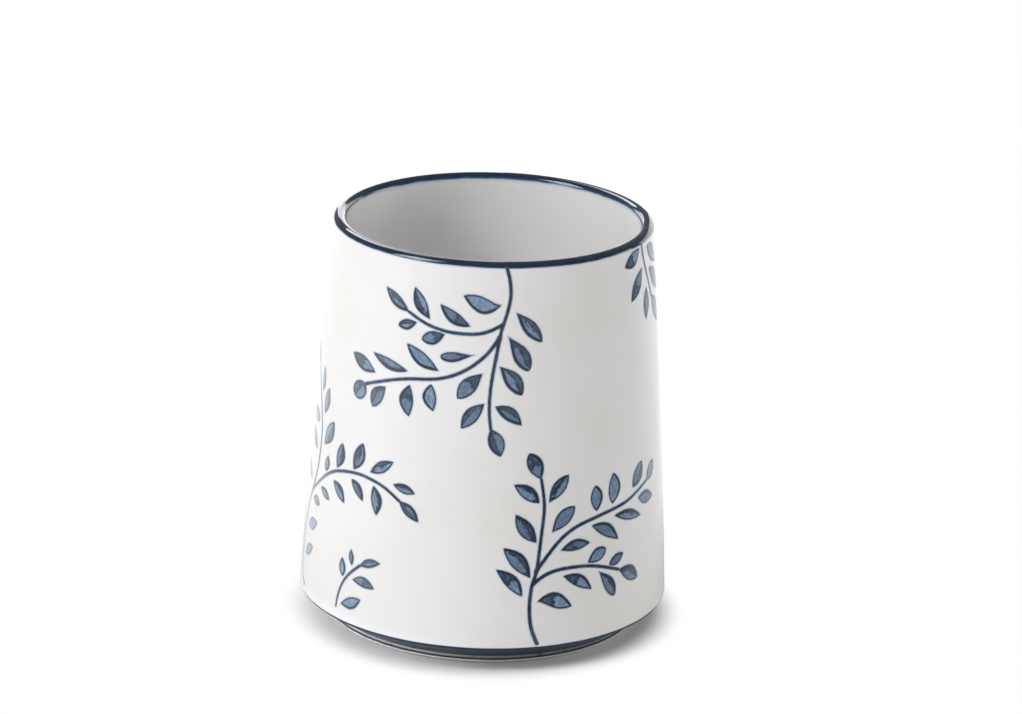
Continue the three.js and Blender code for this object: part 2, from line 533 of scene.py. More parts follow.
def leaf_material():
    """Brush work: a dark outline, a light patch and a darker wash with a dark line where they meet."""
    nodes = new_material("leaf_paint")
    wobble = nodes.math("MULTIPLY", nodes.math("SUBTRACT", nodes.noise(0.9, 3.0), 0.5), 0.22)
    distance = nodes.math("ADD", nodes.value("ink"), wobble)
    line = nodes.value("line")
    leaf = nodes.value("leaf")
    mottle = nodes.noise(0.8, 4.0, offset=9.0)

    outline = nodes.mix(nodes.rise(nodes.noise(1.6, 2.0, offset=2.0), 0.35, 0.65), LINE, LINE_DEEP)
    light = nodes.mix(nodes.rise(mottle, 0.4, 0.7), FILL_LIGHT, FILL_PALE)
    light = nodes.mix(nodes.math("MULTIPLY", nodes.value("tone"), 0.7), light, FILL_MID)
    washed = nodes.mix(nodes.rise(nodes.noise(1.1, 3.0, offset=6.0), 0.38, 0.62), FILL_MID, FILL_DARK)
    strokes = brush_strokes(nodes)
    light = nodes.mix(nodes.rise(strokes, 0.5, 0.72, 0.55), light, FILL_MID)
    washed = nodes.mix(nodes.rise(strokes, 0.48, 0.62, 0.8), washed, outline)
    uneven = nodes.math("MULTIPLY", nodes.math("SUBTRACT", nodes.noise(1.7, 3.0, offset=4.0), 0.5), 1.2)
    feathered = nodes.math("MULTIPLY", nodes.math("SUBTRACT", strokes, 0.5), 2.4)
    shade = nodes.math("ADD", nodes.value("shade"), nodes.math("ADD", uneven, feathered))
    fill = nodes.mix(nodes.rise(shade, -0.2, 0.3), light, washed)
    past_seam = nodes.math("SUBTRACT", 1.0, nodes.rise(shade, 0.3, 0.9))
    seam = nodes.math("MULTIPLY", nodes.rise(shade, -0.15, 0.2, 0.7), past_seam)
    fill = nodes.mix(seam, fill, outline)

    # paler paint: thin paint, and a painted reflection washing out parts of some sprigs
    thin = nodes.math("MULTIPLY", nodes.value("pale"), 0.4)
    fill = nodes.mix(nodes.math("MULTIPLY", thin, 0.5), fill, THIN_PAINT_AND_WASHOUT)
    inner = nodes.math("SUBTRACT", distance, line)
    leaf_paint = nodes.mix(nodes.rise(inner, -0.08, 0.14), outline, fill)
    streak = nodes.rise(nodes.noise(2.6, 2.0, offset=7.0), 0.45, 0.66, 0.42)
    core = nodes.math("MULTIPLY", nodes.rise(distance, 0.12, 0.27), streak)
    stem_paint = nodes.mix(core, outline, FILL_MID)
    paint = nodes.mix(leaf, stem_paint, leaf_paint)
    paint = nodes.mix(thin, paint, THIN_PAINT_AND_WASHOUT)
    colour = with_bleed(nodes, distance, paint)
    return nodes.surface(
        Base_Color=colour,
        Roughness=PAINT_ROUGHNESS,
        IOR=GLAZE_IOR,
        Normal=glaze_waves(nodes),
    )


def pad_material():
    """Soft clear rubber, a little dull."""
    nodes = new_material("clear_rubber")
    colour = nodes.mix(nodes.noise(2.0, 4.0), RUBBER, RUBBER_DULL)
    return nodes.surface(
        Base_Color=colour,
        Roughness=RUBBER_ROUGHNESS,
        IOR=RUBBER_IOR,
        Normal=nodes.bump(nodes.noise(0.4, 3.0), 0.02, 0.5),
    )


# Painted sprigs. A sprig's own plane is the wall unrolled: x to the right of its azimuth, z above the desk.
# Each stem is its points and its leaves. A leaf is the distance along the stem at its base, the side
# it is on (1 left, -1 right, 0 at the end), its gap to the stem, the angle it turns from the stem,
# its length and width, how far it bows to its left as a share of its length, where it is widest as
# a share of its length, and its wash. A tenth value hooks its base, as a share of its length.
# "heavy" is the way the thick side of the outlines faces, "stem" half a stem's width at its foot and
# its tip, and "pale" how thin the paint is. One more key gives two places across the sprig and a number:
# between the places the paint grows paler still, a painted reflection of the bright surroundings that
# washes out the paint towards the cup's outline seen from the front, by the number on the front and by a
# share of it on the back.

PLAIN, LEFT, RIGHT, BASE, TIP = "plain", "left", "right", "base", "tip"

HANGING = {
    "heavy": (-0.6, -0.8),
    "stem": (0.4, 0.35),
    "pale": 0.1,
    "thins": (-26, -40, 0.25),
    "stems": [
        ([(-1, 100.5), (0.5, 95.5), (0.5, 91.5), (-0.5, 87.5), (-1.5, 84.5), (-2, 82)], [
            (10.5, -1, 1.8, 89, 9, 3.9, 0, 0.5, PLAIN, 0.14),
            (11.5, 1, 2, 55, 9.6, 3.3, 0.01, 0.58, LEFT),
            (17.5, 1, 1.8, 44, 9.8, 3.9, 0.03, 0.6, LEFT),
        ]),
        ([(-1.5, 85.5), (-5, 83.5), (-8.5, 83), (-13, 83), (-16.5, 83.5), (-20, 84.5), (-24, 86.5)], [
            (7.5, -1, 1.8, 36, 8.6, 2.9, 0.07, 0.5, BASE),
            (13.5, 1, 0.8, 27, 6, 3.2, 0.03, 0.57, BASE),
            (18, -1, 1.4, 42, 8, 3.2, 0.06, 0.5, LEFT),
            (20.5, 1, 1, 42, 5.2, 2.5, 0.02, 0.57, RIGHT),
            (23.5, 0, 0, -9, 8, 2.8, 0.04, 0.5, RIGHT),
        ]),
        ([(-2, 82.5), (-4.5, 78.5), (-8, 75.5), (-11, 73.5), (-16, 71.5), (-21, 71), (-27, 70),
          (-36.5, 66.5)], [
            (7, -1, 1.8, 33, 8.2, 2.4, 0.02, 0.66, BASE),
            (8.5, 1, 2.8, 9, 8.6, 3.8, -0.03, 0.58, BASE),
            (17.5, -1, 1.8, 48, 9.8, 3.3, 0.05, 0.5, PLAIN),
            (20, 1, 1.2, 87, 6.4, 3.4, -0.1, 0.5, PLAIN),
            (25.5, -1, 1.8, 24, 10.4, 2.6, 0.05, 0.5, LEFT),
            (25.5, 1, 1.4, 78, 7.6, 3.7, -0.1, 0.5, BASE),
            (33, 1, 1.4, 36, 6.8, 3.6, -0.08, 0.56, RIGHT),
            (34.5, -1, 2.2, 39, 8.4, 3.5, 0.02, 0.52, TIP),
            (40.2, 0, 0, 25, 5.2, 4.3, 0, 0.5, RIGHT),
        ]),
        ([(-1.9, 82.5), (-2.6, 78), (-3.5, 73), (-4, 68), (-4, 64), (-3.5, 60.5)], [
            (6.5, 1, 1.2, 48, 8.8, 3.9, 0.05, 0.58, LEFT),
            (16, -1, 1.2, 39, 8.2, 3.4, -0.04, 0.5, RIGHT),
            (16.5, 1, 1.4, 54, 7.8, 3.3, 0.07, 0.5, LEFT),
            (22.2, 0, 0, 12, 7, 3.8, 0.03, 0.5, RIGHT),
        ]),
    ],
}

RISING = {
    "heavy": (0.5, 0.85),
    "stem": (0.45, 0.36),
    "pale": 0.0,
    "thins": (24, 37, 0.7),
    "stems": [
        ([(-0.5, 7.5), (-2, 11), (-2.5, 14.5), (-2.5, 18), (-2, 22.5), (-1, 24.5), (-0.5, 28), (0, 32.5),
          (0.5, 37), (1, 41), (0.5, 45), (0, 48)], [
            (10.5, -1, 1.8, 99, 9.2, 3.8, 0, 0.5, BASE, 0.13),
            (12, 1, 2, 48, 9.2, 3.2, -0.07, 0.5, TIP),
            (16.5, 1, 1, 60, 10, 3.8, -0.05, 0.5, RIGHT),
            (25.5, 1, 1, 42, 8.8, 3.6, 0.02, 0.5, RIGHT),
            (28, -1, 2.6, 39, 8.2, 3.7, 0.03, 0.57, PLAIN),
            (35, -1, 1.2, 42, 8, 3.4, 0.02, 0.52, LEFT),
            (35.5, 1, 1.2, 48, 7.8, 3.3, -0.05, 0.5, RIGHT),
            (41.5, 0, 0, 15, 7.2, 3.8, -0.02, 0.55, TIP),
        ]),
        ([(-1, 25.5), (2, 29.5), (5, 33), (9, 35.5), (13.5, 36.5), (19.5, 37.5), (25, 38), (29.5, 39.5),
          (34.5, 41)], [
            (7.5, -1, 2, 42, 8, 2.8, 0.06, 0.5, BASE),
            (18.5, -1, 1.6, 42, 10, 3.2, 0.07, 0.5, PLAIN),
            (20.5, 1, 1.4, 84, 6.4, 3.6, -0.03, 0.5, PLAIN),
            (25.5, 1, 1.4, 81, 7.6, 4, -0.07, 0.5, PLAIN),
            (26, -1, 1.8, 21, 10.8, 2.7, 0.03, 0.5, LEFT),
            (33.5, 1, 2, 36, 6.8, 4, -0.05, 0.5, RIGHT),
            (35, -1, 1.8, 30, 8, 3.3, 0, 0.5, TIP),
            (40.5, 0, 0, 27, 5.4, 3.6, -0.04, 0.5, PLAIN),
        ]),
        ([(-1.5, 22.5), (1, 24.5), (4.5, 25.5), (9, 25.5), (14, 25), (18.5, 23.5), (22.5, 22)], [
            (8, -1, 1.8, 33, 9.2, 3, 0.07, 0.5, BASE),
            (14.5, 1, 0.8, 33, 6, 3.4, 0.02, 0.58, PLAIN),
            (18.5, -1, 1.2, 36, 9, 3.3, 0.05, 0.6, LEFT),
            (21.5, 1, 0.8, 39, 5.2, 2.7, -0.02, 0.5, PLAIN),
            (25.5, 0, 0, -7, 8.6, 3.7, 0.04, 0.56, LEFT),
        ]),
    ],
}

LEANING = {
    "heavy": (0.85, 0.4),
    "stem": (0.34, 0.36),
    "pale": 0.1,
    "thins": (9, -10, 1.4),
    "stems": [
        ([(-7, 8.5), (-10, 10), (-11.5, 16), (-10.5, 23), (-7.5, 30.5), (-3.5, 37), (-2, 44), (-2, 50),
          (-4, 56), (-9, 64.5)], [
            (9, -1, 3.2, 60, 6.6, 2.6, 0.03, 0.5, PLAIN),
            (18, -1, 3, 50, 6.6, 3, 0, 0.5, PLAIN),
            (26.5, -1, 2, 66, 4.4, 2.4, 0.05, 0.5, RIGHT),
            (28.5, 1, 2.2, 75, 6.2, 2.4, 0.04, 0.5, PLAIN),
            (38.5, 1, 2.2, 51, 6.8, 2.7, 0.04, 0.5, PLAIN),
            (41.5, -1, 2.2, 33, 8, 3.8, -0.04, 0.5, RIGHT),
            (46.5, 1, 1.8, 51, 5.4, 3, 0.04, 0.5, PLAIN),
            (48, -1, 2, 33, 7, 3.1, -0.03, 0.5, RIGHT),
            (53, -1, 1.8, 24, 6.2, 2.4, -0.03, 0.5, PLAIN),
            (61.5, 0, 0, 10, 7, 3, 0.03, 0.5, PLAIN),
        ]),
        ([(-5.5, 33.5), (0.5, 38.5), (5.5, 42), (10.5, 43.5), (16, 44.5), (20.5, 44), (24.5, 43),
          (28.5, 40.5)], [
            (5.5, -1, 1.6, 57, 5.2, 2.2, 0.03, 0.5, PLAIN),
            (10, 1, 1, 42, 4.2, 2.4, -0.03, 0.5, RIGHT),
            (13.5, -1, 2, 66, 6.6, 2.9, 0.06, 0.5, LEFT),
            (16, 1, 0.8, 57, 6.8, 3.4, -0.06, 0.5, RIGHT),
            (21.5, -1, 1.6, 54, 6.2, 2.6, 0.06, 0.5, LEFT),
            (22.5, 1, 0.8, 63, 7.6, 3.7, -0.04, 0.5, LEFT),
            (27.5, 1, 1.6, 39, 7.6, 2.8, 0, 0.5, LEFT),
            (29.5, -1, 1.2, 66, 7.2, 3.2, 0.07, 0.5, LEFT),
            (34, 1, 2.2, 15, 6, 2.3, 0.02, 0.5, LEFT),
            (38.2, 0, 0, -6, 6.8, 2.7, 0.03, 0.5, RIGHT),
        ]),
    ],
}

SMALL = {
    "heavy": (0.8, -0.3),
    "stem": (0.24, 0.36),
    "pale": 0.25,
    "stems": [
        ([(0.5, 9.5), (1, 13), (2.5, 16.5), (5, 19.5), (8, 22)], [
            (1.5, -1, 1.6, 57, 7.2, 2.9, -0.05, 0.5, PLAIN),
            (8, 1, 1, 42, 4.6, 2.4, 0, 0.5, PLAIN),
            (10.5, -1, 1.6, 51, 7, 2.6, 0.08, 0.5, TIP),
            (12.5, 1, 1.2, 57, 4, 1.7, 0, 0.5, PLAIN),
            (15, 0, 0, -21, 6.4, 2.2, 0.05, 0.5, LEFT),
        ]),
    ],
}

TRAILING = {
    "heavy": (-0.9, -0.3),
    "stem": (0.38, 0.36),
    "pale": 0.0,
    "stems": [
        ([(2.5, 100), (2.5, 98), (3.5, 94.5), (5.5, 90), (8, 85)], [
            (1.5, -1, 1.4, 72, 7.6, 3.5, 0.06, 0.5, TIP),
            (3, 1, 3, 39, 9.4, 4, 0.04, 0.5, PLAIN),
            (6, -1, 1.8, 60, 9, 3.7, 0.03, 0.5, TIP),
            (9, 1, 2, 24, 11, 4, 0.03, 0.5, PLAIN),
            (11.5, -1, 2, 30, 7.8, 3.4, 0.02, 0.5, PLAIN),
            (16, 0, 0, 9, 9.8, 4, 0.03, 0.5, PLAIN),
        ]),
    ],
}

# Each sprig's name, table and azimuth, and each side's name, turn and share of the painted reflection that
# washes out the paint
SPRIGS = [
    ("hanging", HANGING, 6),
    ("rising", RISING, 18),
    ("leaning", LEANING, -66),
    ("small", SMALL, -52),
    ("trailing", TRAILING, 62),
]
SIDES = [("front", 0, 1.0), ("back", 180, 0.2)]

STEM_WEB = 0.45  # how softly stems run into each other where they branch
STEM_PAST_RIM = 0.45  # how far a hanging stem runs on over the rim band
RIM_BLEED_END = 0.3  # over how much below the rim band a hanging stem's bleed narrows to nothing
LINE_THIN = 0.32  # width of a leaf's outline on its thin side
LINE_HEAVY = 0.42  # and how much more it is on its thick side
LEAF_POINT = 0.88  # how pointed a slim leaf's ends are: 1 is a sine's arch, and less is rounder
BROAD_LEAF = 0.42  # the width, as a share of the length, above which a leaf's ends are rounder
BROAD_ROUNDING = 0.9  # how fast they grow rounder with the width
TIP_ROUNDING = 2.6  # how fast a tip grows rounder as the widest place moves past the middle
SIDE_WASH_FOOT = 0.2  # the share of a leaf at its base that a wash on one side covers all across
BASE_WASH_END = 0.45  # the share of a leaf that a wash at its base covers
TIP_WASH_START = 0.5  # where a wash at the tip starts, as a share of the leaf
SEAM_CURVE = 0.7  # how much a wash's edge curves across a leaf
NO_WASH = -3.0  # a place far outside any wash


def curve_through(points, steps=14):
    """A smooth line from the first point to the last that follows the points between."""
    points = np.asarray(points, float)
    padded = np.vstack([2 * points[0] - points[1], points, 2 * points[-1] - points[-2]])
    t = np.linspace(0, 1, steps, endpoint=False)[:, None]
    line = []
    for a, b, c, d in zip(padded[:-3], padded[1:-2], padded[2:-1], padded[3:]):
        early = (1 - t) ** 3 * a + (3 * t**3 - 6 * t**2 + 4) * b
        late = (-3 * t**3 + 3 * t**2 + 3 * t + 1) * c + t**3 * d
        line.append((early + late) / 6)
    return np.vstack([*line, points[-1:]])


def stem_depth(line, places, foot, tip):
    """How far each place lies inside the stem's edge, and negative outside it."""
    best = np.full(len(places), -np.inf)
    run = lengths_along(line)
    for k in range(len(line) - 1):
        start, way = line[k], line[k + 1] - line[k]
        along = np.clip(((places - start) @ way) / (way @ way), 0, 1)
        gap = np.linalg.norm(places - start - along[:, None] * way, axis=1)
        share = (run[k] + along * (run[k + 1] - run[k])) / run[-1]
        best = np.maximum(best, foot + (tip - foot) * share - gap)
    return best


def leaf_frame(line, leaf):
    """A leaf's base point and the direction it points in, on the sprig's plane."""
    station, side, gap, turn = leaf[:4]
    run = lengths_along(line)
    at = min(max(int(np.searchsorted(run, station)), 1), len(line) - 2)
    ahead = line[at + 1] - line[at - 1]
    ahead = ahead / np.linalg.norm(ahead)
    left = np.array([-ahead[1], ahead[0]])
    foot = line[-1] if side == 0 else line[at]
    angle = math.radians(turn) * (side or 1)
    return foot + left * side * gap, ahead * math.cos(angle) + left * math.sin(angle)


def leaf_fields(line, leaf, number, heavy, places):
    """Depth inside a leaf, width of its outline, depth in its wash, and place along and across it."""
    length, width, bow, belly, wash = leaf[4:9]
    hook = leaf[9] if len(leaf) > 9 else 0.0
    base, ahead = leaf_frame(line, leaf)
    left = np.array([-ahead[1], ahead[0]])
    share = ((places - base) @ ahead) / length
    within = np.clip(share, 0, 1)
    centre = bow * 4 * within * (1 - within) + hook * np.sin(math.pi * within**0.65)
    across = (places - base) @ left - centre * length
    # A broad leaf has rounder ends, and one that is widest past its middle has a rounder tip.
    widest = belly + 0.02 * math.sin(2.4 * number)
    spot = within ** (math.log(0.5) / math.log(widest))
    round_leaf = BROAD_ROUNDING * min(max(width / length - BROAD_LEAF, 0), 0.4)
    blunt_end = TIP_ROUNDING * max(widest - 0.5, 0) * within
    sharpness = LEAF_POINT - round_leaf - blunt_end
    half = width / 2 * np.sin(math.pi * spot) ** sharpness
    beyond = np.maximum(np.maximum(-share, share - 1), 0) * length
    slope = width / 2 * math.pi * np.cos(math.pi * spot) / length
    depth = (half - np.abs(across)) / np.sqrt(1 + slope**2)
    depth = np.where(beyond > 0, -np.hypot(beyond, across), depth)
    out = np.sign(across)[:, None] * left
    line_width = LINE_THIN + LINE_HEAVY * np.clip(out @ np.asarray(heavy), 0, 1)
    level = np.abs(across) / (width / 2)
    base_wash = (SIDE_WASH_FOOT - share) * length
    if wash == LEFT:
        shade = np.maximum(across, base_wash)
    elif wash == RIGHT:
        shade = np.maximum(-across, base_wash)
    elif wash == BASE:
        shade = (BASE_WASH_END - share) * length + SEAM_CURVE * level
    elif wash == TIP:
        shade = (share - TIP_WASH_START) * length + SEAM_CURVE * level
    else:
        shade = np.full(len(places), NO_WASH)
    return {"ink": depth, "line": line_width, "shade": shade, "along": share * length, "across": across}


def sprig_fields(sprig, places):
    """The painted layer at each place, as the numbers that its paint reads."""
    stems = None
    for points, _ in sprig["stems"]:
        depth = stem_depth(curve_through(points), places, *sprig["stem"])
        if stems is None:
            stems = depth
            continue
        blend = np.clip(0.5 + 0.5 * (stems - depth) / STEM_WEB, 0, 1)
        stems = depth + (stems - depth) * blend + STEM_WEB * blend * (1 - blend)
    blank = np.zeros(len(places))
    layer = {key: blank for key in ("along", "across", "leaf", "tone")}
    layer.update(ink=stems, line=blank + LINE_THIN, shade=blank + NO_WASH)
    number = 0
    for points, leaves in sprig["stems"]:
        line = curve_through(points)
        for leaf in leaves:
            number += 1
            fields = leaf_fields(line, leaf, number, sprig["heavy"], places)
            fields["leaf"] = 1.0
            fields["tone"] = 0.5 + 0.5 * math.sin(5.1 * number)
            nearer = fields["ink"] > layer["ink"]
            layer = {key: np.where(nearer, fields[key], layer[key]) for key in layer}
    layer["fade"] = np.clip(layer["ink"] / BLEED_WIDTH, -1, 0)
    # painted reflection: across its given span a sprig's paint grows paler, washed out as if by the glaze's
    # reflection
    start, end, more = sprig.get("thins", (0, 1, 0))
    layer["pale"] = blank + sprig["pale"]
    layer["thinning"] = more * np.clip((places[:, 0] - start) / (end - start), 0, 1)
    return layer


def clipped_cells(level):
    """Faces that cover where level is above 0 on a grid, cut smoothly at 0.
    Returns the corner places as fractional grid positions, and the faces."""
    places = []
    index = {}

    def corner(i, j):
        if (i, j) not in index:
            index[(i, j)] = len(places)
            places.append((i, j))
        return index[(i, j)]

    def crossing(a, b):
        key = (min(a, b), max(a, b))
        if key not in index:
            (ai, aj), (bi, bj) = key
            share = level[ai, aj] / (level[ai, aj] - level[bi, bj])
            share = min(max(share, LEAST_CUT), 1 - LEAST_CUT)
            index[key] = len(places)
            places.append((ai + (bi - ai) * share, aj + (bj - aj) * share))
        return index[key]

    above = level > 0
    some = above[:-1, :-1] | above[1:, :-1] | above[:-1, 1:] | above[1:, 1:]
    faces = []
    for i, j in zip(*np.nonzero(some)):
        ring = [(i, j), (i + 1, j), (i + 1, j + 1), (i, j + 1)]
        face = []
        for a, b in zip(ring, ring[1:] + ring[:1]):
            if above[a]:
                face.append(corner(*a))
            if above[a] != above[b]:
                face.append(crossing(a, b))
        faces.append(face)
    return np.array(places, float), faces


def skin_radius(z):
    """Radius of the outside at a height, over the start of the lip too."""
    over = np.clip(z - LIP_Z, 0, LIP_RADIUS)
    return np.where(over > 0, LIP_R + np.sqrt(LIP_RADIUS**2 - over**2), outer_radius(z))


def on_wall(flat, azimuth, lift):
    """A place on a sprig's plane, put on the outer wall at its azimuth and lifted off the surface."""
    radius = skin_radius(flat[:, 1])
    angle = math.radians(azimuth) + flat[:, 0] / radius
    reach = radius + lift
    return np.column_stack([reach * np.sin(angle), -reach * np.cos(angle), flat[:, 1]])


def sprig_reach(sprig):
    """The lowest and highest corners of the sprig's plane that its paint can reach."""
    points = np.vstack([np.asarray(stem) for stem, _ in sprig["stems"]])
    longest = max(leaf[2] + leaf[4] for _, leaves in sprig["stems"] for leaf in leaves)
    return points.min(0) - longest, points.max(0) + longest


def painted_sprig(sprig):
    """The sprig's layer on its own plane: places, faces and the values that its paint reads.
    At the rim band a stem has no bleed, so that it joins the band."""
    low, high = sprig_reach(sprig)
    low[1] = max(low[1], LOWEST_PAINT_Z)
    high[1] = min(high[1], RIM_PAINT_Z + STEM_PAST_RIM)
    columns, rows = (int(n) + 1 for n in np.ceil((high - low) / PAINT_GRID))
    step = (high - low) / (columns - 1, rows - 1)
    i, j = np.meshgrid(np.arange(columns), np.arange(rows), indexing="ij")
    grid = low + step * np.column_stack([i.ravel(), j.ravel()])
    halo = BLEED_WIDTH * np.clip((RIM_PAINT_Z - grid[:, 1]) / RIM_BLEED_END, 0, 1)
    level = (sprig_fields(sprig, grid)["ink"] + halo).reshape(columns, rows)
    spots, faces = clipped_cells(level)
    flat = low + step * spots
    return flat, faces, sprig_fields(sprig, flat)


def sprig_piece(name, layer, azimuth, washout_share, material):
    """A thin closed layer on the wall: its top, its underside just inside the body, and its edge."""
    flat, faces, values = layer
    values = dict(values)
    # this side's share of the painted reflection is added to the paint's paleness
    values["pale"] = values["pale"] + washout_share * values.pop("thinning")
    count = len(flat)
    lift = LAYER_EDGE + (PAINT_TOP - LAYER_EDGE) * np.clip(values["ink"] / BLEED_WIDTH + 1, 0, 1)
    top = on_wall(flat, azimuth, lift)
    bottom = on_wall(flat, azimuth, -LAYER_SUNK)
    sides = {}
    for face in faces:
        for a, b in zip(face, face[1:] + face[:1]):
            if (b, a) in sides:
                del sides[(b, a)]
            else:
                sides[(a, b)] = True
    under = [[count + v for v in reversed(face)] for face in faces]
    edge = [[b, a, count + a, count + b] for a, b in sides]
    piece = new_object(name, np.vstack([top, bottom]), faces + under + edge)
    for key, numbers in values.items():
        give_values(piece, key, np.concatenate([numbers, numbers]))
    give_map(piece, sprig_map(flat, faces, under, edge, count))
    piece.data.set_sharp_from_angle(angle=SHARP_ANGLE)
    return finish_piece(piece, material, "navy_glaze")


def sprig_map(flat, faces, under, edge, count):
    """The top takes nearly all of the map. The hidden underside and edge share a narrow strip of it."""
    low = flat.min(0)
    size = np.ptp(flat, axis=0)
    whole = (flat - low) / size.max()
    top = 0.01 + 0.93 * whole
    strip = np.column_stack([0.955 + 0.035 * whole[:, 0], 0.01 + 0.93 * whole[:, 1]])
    spots = np.vstack([top, strip])
    hidden = [[v if v >= count else v + count for v in face] for face in edge]
    return np.vstack([spots[np.concatenate(group)] for group in (faces, under, hidden)])


# Pieces

def porcelain_body():
    """The cup, in one turned piece."""
    profile = body_profile()
    piece = turned("body_glazed", profile, TURNS)
    bare = profile[:, 1] < RING_FACE_Z + 1.1 * FOOT_ROUNDING
    give_values(piece, "bare", per_ring(profile, bare.astype(float), TURNS))
    return finish_piece(piece, body_material(), "white_glaze", "porcelain_body")


def band(name, path, first_bleed, last_bleed, material, node, ridge=None):
    """A thin glaze layer along a path on the body, with its bleed at both ends. Where it goes over a
    ridge, a place on the path, the glaze breaks and lets the clay show through, and a painted highlight
    lies there too, strongest on the lit side."""
    run = lengths_along(path)
    first = (run - first_bleed) * BLEED_WIDTH / first_bleed
    last = (run[-1] - run - last_bleed) * BLEED_WIDTH / last_bleed
    ink = np.minimum(first, last)
    fade = np.clip(ink / BLEED_WIDTH, -1, 0)
    break_and_highlight = np.zeros(len(path))
    if ridge is not None:
        break_and_highlight = np.exp(-((np.linalg.norm(path - ridge, axis=1) / RIDGE_REACH) ** 2))
    lift = LAYER_EDGE + (LAYER_TOP - LAYER_EDGE) * np.clip(ink / BLEED_WIDTH + 1, 0, 1)
    out = right_normals(path)
    surface = path + out * lift[:, None]
    under = path - out * LAYER_SUNK
    profile = np.vstack([surface, under[::-1]])
    piece = turned(name, profile, TURNS, closed=True)
    for key, numbers in (("ink", ink), ("fade", fade), ("break_and_highlight", break_and_highlight)):
        give_values(piece, key, per_ring(profile, np.concatenate([numbers, numbers[::-1]]), TURNS))
    # painted highlight: the ridge's pale share by azimuth, most on the lit side and least on the shaded
    # side
    azimuths = 2 * np.pi * np.arange(TURNS) / TURNS
    painted_light_share = PAINTED_LIGHT_LEAST + (1 - PAINTED_LIGHT_LEAST) * (0.5 + 0.5 * np.cos(azimuths - math.radians(PAINTED_LIGHT_MIDDLE)))
    give_values(piece, "painted_light_share", np.tile(painted_light_share, len(profile)))
    return finish_piece(piece, material, "navy_glaze", node)


def pads():
    """Soft clear rubber pads under the floor, each where its node is."""
    material = pad_material()
    for name in PAD_NAMES:
        low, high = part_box(name)
        centre = (low + high) / 2
        radius = (high.x - low.x) / 2 / MM
        top = high.z / MM
        profile = np.vstack([
            [[0, 0]],
            [[radius * 0.4, 0.01]],
            arc(radius - PAD_ROUNDING, PAD_ROUNDING, PAD_ROUNDING, -90, 0, 8),
            [[radius, top * 0.7], [radius - 0.15, top]],
            [[0, top]],
        ])
        piece = turned("rubber_" + name, profile, PAD_TURNS)
        piece.data.transform(Matrix.Translation((centre.x, centre.y, 0)))
        finish_piece(piece, material, "clear_rubber", name)


def glaze_bands():
    """The navy bands on the lip and on the foot. The foot's ridge, pale where the glaze breaks and with a
    painted highlight, is the middle of its ring's shoulder.
    """
    rim = band_material("navy_glaze_rim", *RIM_FINISH)
    band("band_rim", rim_path(), BLEED_WIDTH, RIM_INNER_BLEED, rim, "rim_band")
    ridge = (FOOT_RING_RADIUS - 0.3 * FOOT_ROUNDING, SHOULDER_Z - 0.3 * FOOT_ROUNDING)
    foot = band_material("navy_glaze_foot", *FOOT_FINISH)
    band("band_foot", foot_path(), FOOT_END_BLEED, FOOT_TOP_BLEED, foot, "foot_band", ridge)


def sprigs():
    """The same five sprigs on the front and on the back."""
    material = leaf_material()
    for name, sprig, azimuth in SPRIGS:
        layer = painted_sprig(sprig)
        for side, turn, washout_share in SIDES:
            sprig_piece(f"sprig_{name}_{side}", layer, azimuth + turn, washout_share, material)


# Stage, light and camera

# The floor, in metres. The shadow that the camera sees fades out, and the sheet that the glaze mirrors
# fades in, between two distances from the axis.
FLOOR_SIZE = 3.0
SHADOW_NEAR = 0.0405
SHADOW_FAR = 0.0505
MIRRORED_NEAR = 0.06
MIRRORED_FAR = 0.12
FLOOR_BRIGHT = 1.05
FLOOR_GREY = (0.79, 0.79, 0.79, 1)
FLOOR_PALE = (0.82, 0.82, 0.815, 1)


def floor_seen(nodes, reach):
    """The floor to the camera: plain white away from the cup, and near the cup with its shadow."""
    near = nodes.diffuse((FLOOR_BRIGHT, FLOOR_BRIGHT, FLOOR_BRIGHT, 1))
    away = nodes.glow(1.0)
    return nodes.either(nodes.rise(reach, SHADOW_NEAR, SHADOW_FAR), near, away)


def floor_unseen(nodes, reach, glossy):
    """The floor as light, and in the glaze, where it is brighter behind and on the left."""
    grain = nodes.mix(nodes.noise(3.0, 3.0), FLOOR_GREY, FLOOR_PALE)
    split = nodes.add("ShaderNodeSeparateXYZ")
    nodes.feed(split.inputs[0], nodes.place)
    sideways = nodes.math("MULTIPLY", split.outputs["X"], -0.6)
    lit = nodes.rise(nodes.math("ADD", split.outputs["Y"], sideways), -0.15, 0.12, 0.75)
    sheet = nodes.glow(nodes.math("ADD", lit, 0.4))
    far = nodes.rise(reach, MIRRORED_NEAR, MIRRORED_FAR)
    return nodes.either(nodes.math("MULTIPLY", far, glossy), nodes.diffuse(grain), sheet)


def floor():
    """A pale floor that the camera, the light and the glaze each see in their own way."""
    nodes = new_material("pale_floor")
    path = nodes.add("ShaderNodeLightPath")
    length = nodes.add("ShaderNodeVectorMath", operation="LENGTH")
    nodes.feed(length.inputs[0], nodes.place)
    reach = length.outputs["Value"]
    unseen = floor_unseen(nodes, reach, path.outputs["Is Glossy Ray"])
    both = nodes.either(path.outputs["Is Camera Ray"], unseen, floor_seen(nodes, reach))
    output = nodes.add("ShaderNodeOutputMaterial")
    nodes.feed(output.inputs["Surface"], both)
    half = FLOOR_SIZE / 2 / MM
    corners = [(-half, -half, 0), (half, -half, 0), (half, half, 0), (-half, half, 0)]
    plane = new_object("floor", corners, [(0, 1, 2, 3)], smooth=False)
    plane.data.materials.append(nodes.owner)


WORLD_LIGHT = 0.38
WORLD_TINT = (1.0, 0.972, 0.92, 1)
WORLD_MIRRORED_FRONT = 0.15
WORLD_MIRRORED_BEHIND = 0.25


def mirrored_world(nodes):
    """What the glaze mirrors of the surroundings: dim in front of the cup and paler behind it."""
    split = nodes.add("ShaderNodeSeparateXYZ")
    nodes.feed(split.inputs[0], nodes.coordinates.outputs["Generated"])
    return nodes.rise(split.outputs["Y"], -0.3, 0.6, WORLD_MIRRORED_BEHIND, WORLD_MIRRORED_FRONT)


